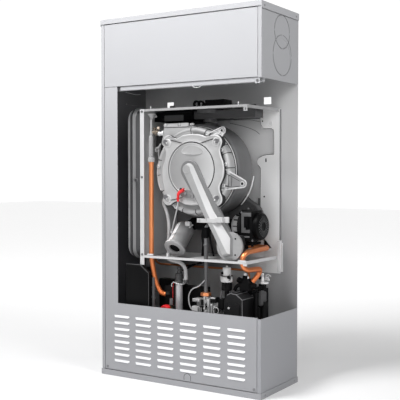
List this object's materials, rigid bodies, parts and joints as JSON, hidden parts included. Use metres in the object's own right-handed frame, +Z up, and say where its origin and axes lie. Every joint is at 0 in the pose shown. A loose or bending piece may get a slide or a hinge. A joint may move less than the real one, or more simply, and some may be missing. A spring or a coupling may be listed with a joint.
{
  "type": "condensing combination boiler in a recessed wall cabinet",
  "caption": "Tall shallow sheet-metal cabinet cut away to show a condensing boiler: round burner door, slanted air duct, fan, copper pipes, pump, plate exchanger and louvred cover.",
  "frame": {"origin": "middle of the base, on the plane the tray stands on", "axes": "+X to the right seen from the front, +Y from the covers to the wall behind, +Z up"},
  "size_m": [0.6, 0.25, 1.17],
  "materials": {
    "cabinet_paint": "satin",
    "galvanised": "satin",
    "chassis_paint": "satin",
    "cast_aluminium": "cast",
    "duct_aluminium": "satin",
    "drum_plastic": "matt",
    "black_plastic": "matt",
    "grey_plastic": "matt",
    "white_plastic": "satin",
    "red_plastic": "satin",
    "stainless": "polished",
    "screw_steel": "plain",
    "copper": "polished",
    "brass": "satin",
    "vessel_paint": "satin",
    "hose_rubber": "matt",
    "black_rubber": "matt",
    "ceramic_white": "matt",
    "yellow_paint": "satin",
    "blue_paint": "satin"
  },
  "bodies": {
    "cabinet": {"back_panel": "galvanised", "left_wall": "cabinet_paint", "right_wall_upper": "cabinet_paint", "right_wall_lower": "cabinet_paint", "top_cap": "cabinet_paint", "bottom_tray": "cabinet_paint", "cross_rail": "cabinet_paint", "screws": "screw_steel", "chassis_left_panel": "chassis_paint", "chassis_roof": "chassis_paint", "chassis_floor": "chassis_paint", "chassis_back_plate": "galvanised", "flue_collar": "black_plastic", "flue_ducts": "black_plastic", "hx_shell": "cast_aluminium", "hx_drum": "drum_plastic", "hx_coil": "stainless", "burner_door": "cast_aluminium", "door_insulation": "ceramic_white", "burner": "stainless", "spark_electrode": "ceramic_white", "spark_cap": "red_plastic", "spark_lead": "hose_rubber", "mixing_duct": "duct_aluminium", "fan_volute": "cast_aluminium", "fan_motor": "black_plastic", "intake_silencer": "grey_plastic", "gas_pipe": "galvanised", "gas_valve": "cast_aluminium", "vessel_shells": "vessel_paint", "vessel_diaphragm": "black_rubber", "vessel_line": "copper", "vent_tube": "galvanised", "flow_pipe": "copper", "return_pipe": "copper", "hoses": "hose_rubber", "condensate_trap": "grey_plastic", "pump_head": "black_plastic", "pump_body": "grey_plastic", "left_block": "black_plastic", "right_block": "black_plastic", "air_vent": "white_plastic", "pressure_sensor": "white_plastic", "safety_valve": "brass", "diverter_motor": "grey_plastic", "plate_pack": "stainless", "end_plates": "stainless", "controller_case": "black_plastic", "connection_set": "brass"},
    "upper_cover": {"upper_cover": "cabinet_paint"},
    "lower_cover": {"lower_cover": "cabinet_paint", "lower_cover_screws": "screw_steel"},
    "fan_rotor": {"fan_impeller": "black_plastic"},
    "pump_rotor": {"pump_rotor": "white_plastic"},
    "safety_knob": {"safety_knob": "red_plastic"},
    "diverter_stem": {"diverter_stem": "stainless"},
    "heating_knob": {"heating_knob": "white_plastic"},
    "water_knob": {"water_knob": "white_plastic"},
    "gas_lever": {"gas_lever": "yellow_paint"},
    "cold_lever": {"cold_lever": "blue_paint"}
  },
  "joints": [
    {"name": "upper_cover_off", "type": "slide", "parent": "cabinet", "child": "upper_cover", "axis": [0, -1, 0], "range_m": [0, 0.15]},
    {"name": "lower_cover_off", "type": "slide", "parent": "cabinet", "child": "lower_cover", "axis": [0, -1, 0], "range_m": [0, 0.15]},
    {"name": "fan_spin", "type": "hinge", "parent": "cabinet", "child": "fan_rotor", "pos_m": [0.153, 0.021, 0.502], "axis": [1, 0, 0], "continuous": true},
    {"name": "pump_spin", "type": "hinge", "parent": "cabinet", "child": "pump_rotor", "pos_m": [0.15, 0.075, 0.24], "axis": [0, 1, 0], "continuous": true},
    {"name": "safety_knob_turn", "type": "hinge", "parent": "cabinet", "child": "safety_knob", "pos_m": [-0.078, -0.065, 0.227], "axis": [0, 1, 0], "range_deg": [0, 90]},
    {"name": "diverter_stroke", "type": "slide", "parent": "cabinet", "child": "diverter_stem", "axis": [0, 0, 1], "range_m": [0, 0.008]},
    {"name": "heating_knob_turn", "type": "hinge", "parent": "cabinet", "child": "heating_knob", "pos_m": [-0.171, -0.107, 0.2], "axis": [0, 1, 0], "range_deg": [-135, 135]},
    {"name": "water_knob_turn", "type": "hinge", "parent": "cabinet", "child": "water_knob", "pos_m": [-0.171, -0.107, 0.15], "axis": [0, 1, 0], "range_deg": [-135, 135]},
    {"name": "gas_lever_turn", "type": "hinge", "parent": "cabinet", "child": "gas_lever", "pos_m": [0.055, -0.057, 0.092], "axis": [0, -1, 0], "range_deg": [0, 90]},
    {"name": "cold_lever_turn", "type": "hinge", "parent": "cabinet", "child": "cold_lever", "pos_m": [-0.075, -0.057, 0.092], "axis": [0, -1, 0], "range_deg": [0, 90]}
  ]
}
